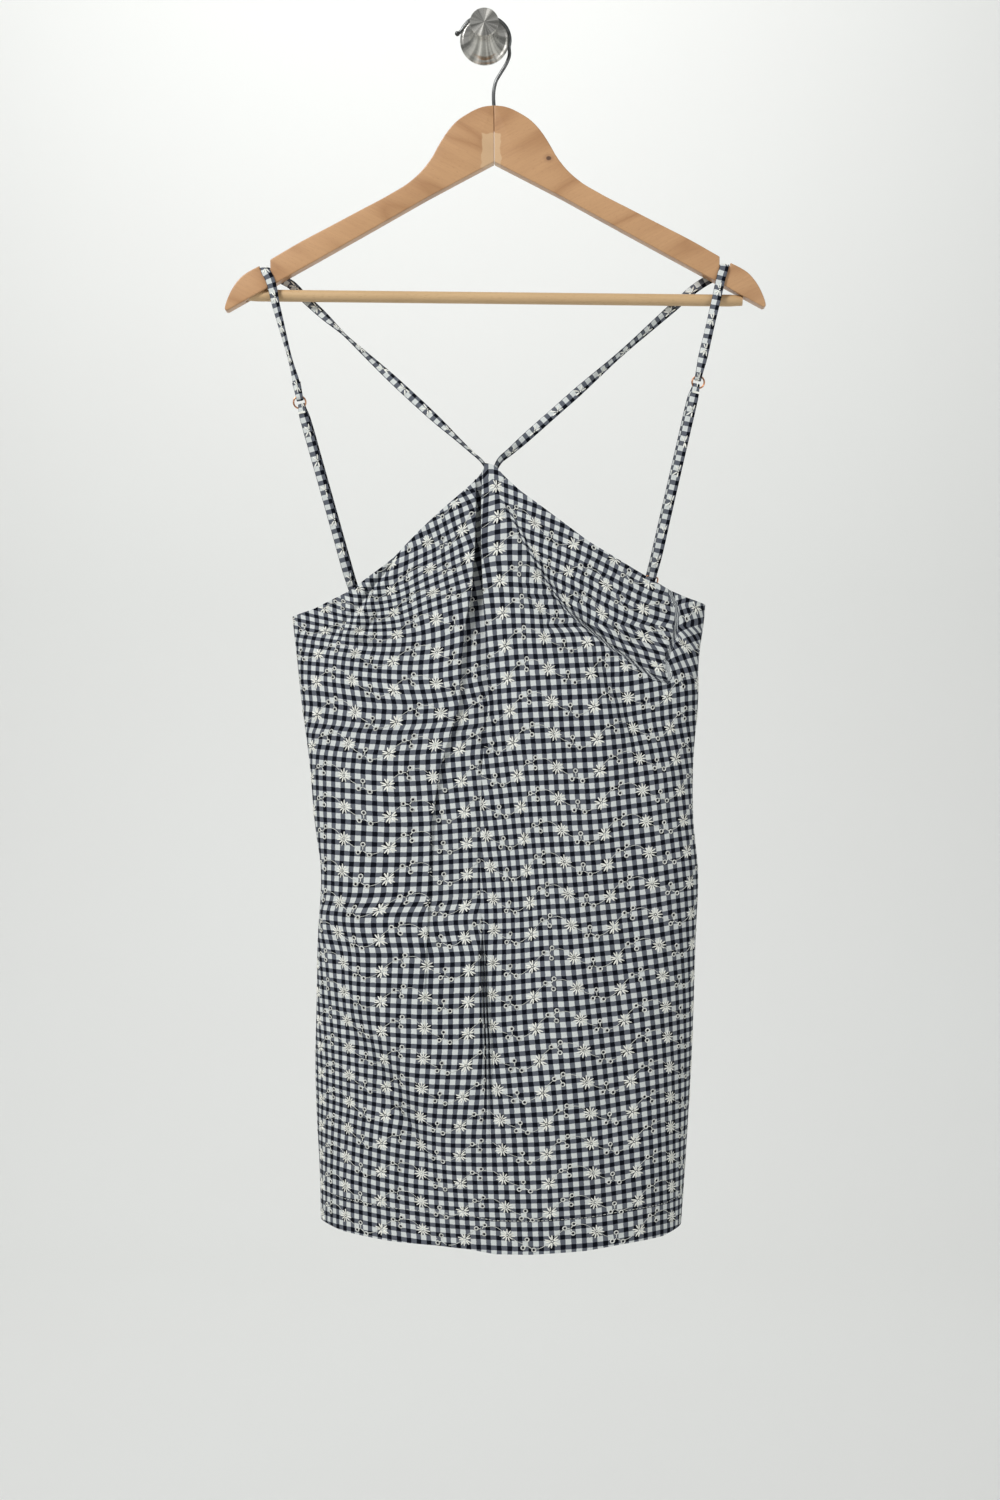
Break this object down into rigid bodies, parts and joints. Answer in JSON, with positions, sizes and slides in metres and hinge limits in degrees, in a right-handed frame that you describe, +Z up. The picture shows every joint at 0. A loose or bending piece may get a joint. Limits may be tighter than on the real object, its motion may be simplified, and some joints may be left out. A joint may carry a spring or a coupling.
{
  "type": "sundress on a wooden hanger and a wall hook",
  "caption": "Short cotton halter sundress hung by its thin straps over a wooden trouser hanger on a turned steel wall hook.",
  "frame": {"origin": "centre of the wall plate's back face, on the wall", "axes": "+Z up, +Y into the wall, so the dress hangs in front of the wall towards -Y; +X to the right seen from the room"},
  "size_m": [0.4456, 0.1111, 1.0175],
  "materials": {
    "gingham_cotton": "matt woven cotton, navy and white gingham with white embroidery",
    "copper_trim": "copper-coloured plated metal",
    "hanger_beech": "satin lacquered beech",
    "bar_beech": "pale turned wood, satin",
    "hook_wire": "dark plated wire",
    "wall_hook_steel": "turned and brushed stainless steel"
  },
  "bodies": {
    "root": {"front_panel": "gingham_cotton", "back_panel": "gingham_cotton", "strap_upper_left": "gingham_cotton", "strap_upper_right": "gingham_cotton", "strap_lower_left": "gingham_cotton", "strap_lower_right": "gingham_cotton", "ring_left": "copper_trim", "ring_right": "copper_trim", "slider_left": "copper_trim", "slider_right": "copper_trim", "hanger_arm_left": "hanger_beech", "hanger_arm_right": "hanger_beech", "hanger_bar": "bar_beech", "hanger_hook": "hook_wire", "wall_plate": "wall_hook_steel", "wall_knob": "wall_hook_steel"}
  },
  "joints": []
}
